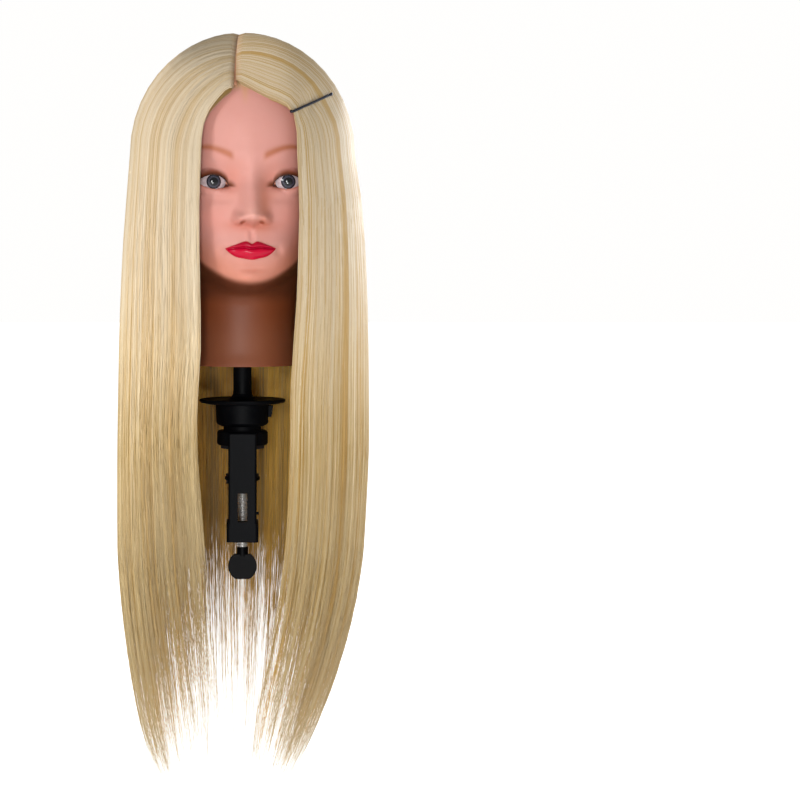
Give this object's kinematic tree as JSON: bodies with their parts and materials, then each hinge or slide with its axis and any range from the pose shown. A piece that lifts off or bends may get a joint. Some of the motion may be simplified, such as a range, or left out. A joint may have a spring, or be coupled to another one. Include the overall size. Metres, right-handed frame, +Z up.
{
  "type": "mannequin training head",
  "caption": "Training mannequin head with long straight hair, two rope twists tied at the back, on a swivel stake with a table clamp.",
  "frame": {"origin": "Centre of the clamp's upper jaw pad, on the table top it rests on.", "axes": "+Z up along the stake's swivel axis, +Y towards the back of the head, +X towards the head's left side; the face looks along -Y."},
  "size_m": [0.214, 0.2086, 0.643],
  "materials": {
    "skin": "satin",
    "foam": "matte",
    "eye_acrylic": "gloss",
    "hair": "satin",
    "blue_rubber": "satin",
    "pin_enamel": "gloss",
    "black_plastic": "satin",
    "black_rubber": "matte",
    "nylon": "satin",
    "brass": "satin",
    "steel": "satin"
  },
  "bodies": {
    "clamp": {"clamp_frame": "black_plastic", "jaw_pad": "black_rubber", "screw_nut": "steel", "friction_washer": "nylon"},
    "swivel": {"stake_post": "black_plastic", "post_insert": "brass", "swivel_cup": "black_plastic", "pivot_bolt": "steel", "pivot_washer": "steel", "lever_pin": "steel"},
    "brake": {"brake_lever": "black_plastic"},
    "head": {"head_skin": "skin", "foam_core": "foam", "neck_socket": "black_plastic", "eye_left": "eye_acrylic", "eye_right": "eye_acrylic", "hair_front_left": "hair", "hair_front_right": "hair", "hair_back": "hair", "twist_left_inner": "hair", "twist_left_outer": "hair", "twist_right_inner": "hair", "twist_right_outer": "hair", "hair_tail": "hair", "elastic_band": "blue_rubber"},
    "pin": {"bobby_pin": "pin_enamel"},
    "pad": {"pressure_pad": "black_plastic", "pad_rubber": "black_rubber"},
    "screw": {"clamp_screw": "steel", "thumb_key": "black_plastic", "key_pin": "steel"}
  },
  "joints": [
    {"name": "swivel_turn", "type": "hinge", "parent": "clamp", "child": "swivel", "pos_m": [0, 0, 0.03], "axis": [0, 0, 1], "continuous": true},
    {"name": "brake_press", "type": "hinge", "parent": "swivel", "child": "brake", "pos_m": [0.0198, 0, 0.0332], "axis": [0, 1, 0], "range_deg": [0, 7], "stiffness_Nm_per_rad": 0.02},
    {"name": "head_lift", "type": "slide", "parent": "swivel", "child": "head", "axis": [0, 0, 1], "range_m": [0, 0.12]},
    {"name": "pin_pull", "type": "slide", "parent": "head", "child": "pin", "axis": [-0.565, -0.7777, -0.2756], "range_m": [0, 0.055]},
    {"name": "pad_travel", "type": "slide", "parent": "clamp", "child": "pad", "axis": [0, 0, 1], "range_m": [-0.028, 0.0024]},
    {"name": "screw_turn", "type": "hinge", "parent": "pad", "child": "screw", "pos_m": [0, 0, -0.05], "axis": [0, 0, 1], "range_deg": [-5042, 434]}
  ],
  "couplings": [
    {"joint": "screw_turn", "follows": "pad_travel", "rad_per_m": 3141.6}
  ]
}
